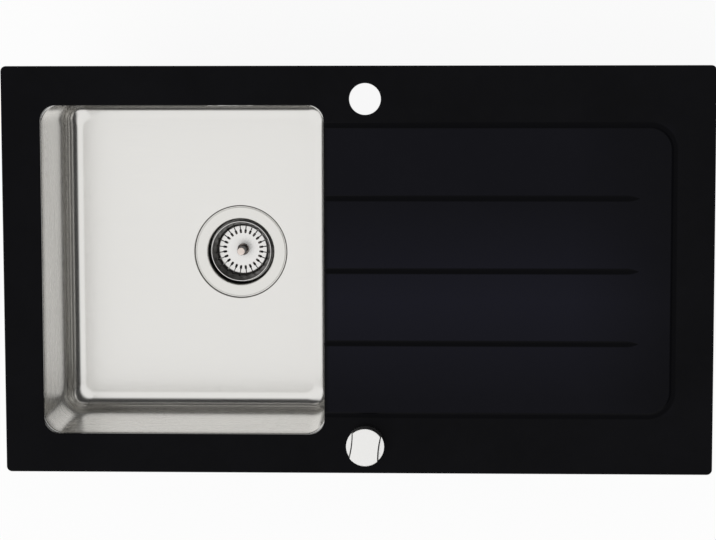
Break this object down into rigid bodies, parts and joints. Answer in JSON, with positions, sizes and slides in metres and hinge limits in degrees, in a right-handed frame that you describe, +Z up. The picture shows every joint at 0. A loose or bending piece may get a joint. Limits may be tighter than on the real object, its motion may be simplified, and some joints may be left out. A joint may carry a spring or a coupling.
{
  "type": "inset glass kitchen sink",
  "caption": "Black glass inset sink with a brushed steel bowl, a grooved glass drainer, a knob-worked basket strainer waste and an overflow.",
  "frame": {"origin": "middle of the deck's outline on the worktop's surface, which the seal under the rim lies on", "axes": "+X along the deck towards the drainer, +Y to the tap side, +Z up"},
  "size_m": [0.86, 0.495, 0.32],
  "materials": {
    "black_glass": "polished toughened glass, black all through",
    "adhesive": "black elastic adhesive",
    "zinc_steel": "zinc-plated steel",
    "foam_rubber": "closed-cell foam",
    "bowl_steel": "satin, brushed along the drawing lines",
    "bitumen_rubber": "matte, slightly grained",
    "seal_rubber": "smooth moulded rubber",
    "grey_plastic": "moulded polypropylene",
    "white_plastic": "moulded plastic",
    "basket_steel": "bright pressed steel",
    "ivory_plastic": "moulded, warm white",
    "hose_plastic": "ribbed polypropylene hose",
    "satin_chrome": "satin, with brighter edges",
    "black_plastic": "moulded"
  },
  "bodies": {
    "sink": {"glass_deck": "black_glass", "glass_bond": "adhesive", "support_frame": "zinc_steel", "worktop_seal": "foam_rubber", "bowl": "bowl_steel", "sound_pads": "bitumen_rubber", "clip_brackets": "zinc_steel", "clip_jaws": "zinc_steel", "clip_screws": "zinc_steel", "strainer_cup": "bowl_steel", "cup_gasket": "seal_rubber", "body_gasket": "seal_rubber", "waste_body": "grey_plastic", "hollow_screw": "zinc_steel", "rod_seal": "seal_rubber", "lever_cover": "grey_plastic", "lever_pin": "zinc_steel", "overflow_rosette": "basket_steel", "overflow_screw": "zinc_steel", "overflow_gasket": "seal_rubber", "overflow_elbow": "grey_plastic", "overflow_hose": "hose_plastic", "hose_nut_upper": "white_plastic", "hose_nut_lower": "white_plastic", "knob_nut": "white_plastic", "knob_washer": "seal_rubber", "knob_housing": "black_plastic", "housing_cap": "black_plastic", "cable_adjuster": "zinc_steel", "cable_gland": "zinc_steel", "control_cable": "black_plastic"},
    "knob": {"control_knob": "satin_chrome", "knob_spindle": "zinc_steel", "cable_drum": "white_plastic"},
    "lever": {"lift_lever": "white_plastic"},
    "stopper": {"stopper": "ivory_plastic", "stopper_seal": "seal_rubber", "lift_rod": "zinc_steel"},
    "basket": {"strainer_basket": "basket_steel"}
  },
  "joints": [
    {"name": "knob_turn", "type": "hinge", "parent": "sink", "child": "knob", "pos_m": [0.01, -0.212, 0.012], "axis": [0, 0, -1], "range_deg": [0, 90]},
    {"name": "lever_swing", "type": "hinge", "parent": "sink", "child": "lever", "pos_m": [-0.1775, 0.006, -0.268], "axis": [0, -1, 0], "range_deg": [0, 22]},
    {"name": "stopper_rise", "type": "slide", "parent": "sink", "child": "stopper", "axis": [0, 0, 1], "range_m": [0, 0.0075]},
    {"name": "basket_lift", "type": "slide", "parent": "sink", "child": "basket", "axis": [0, 0, 1], "range_m": [0, 0.09]}
  ],
  "couplings": [
    {"joint": "lever_swing", "follows": "knob_turn", "ratio": 0.2444},
    {"joint": "stopper_rise", "follows": "knob_turn", "m_per_rad": 0.00477}
  ]
}
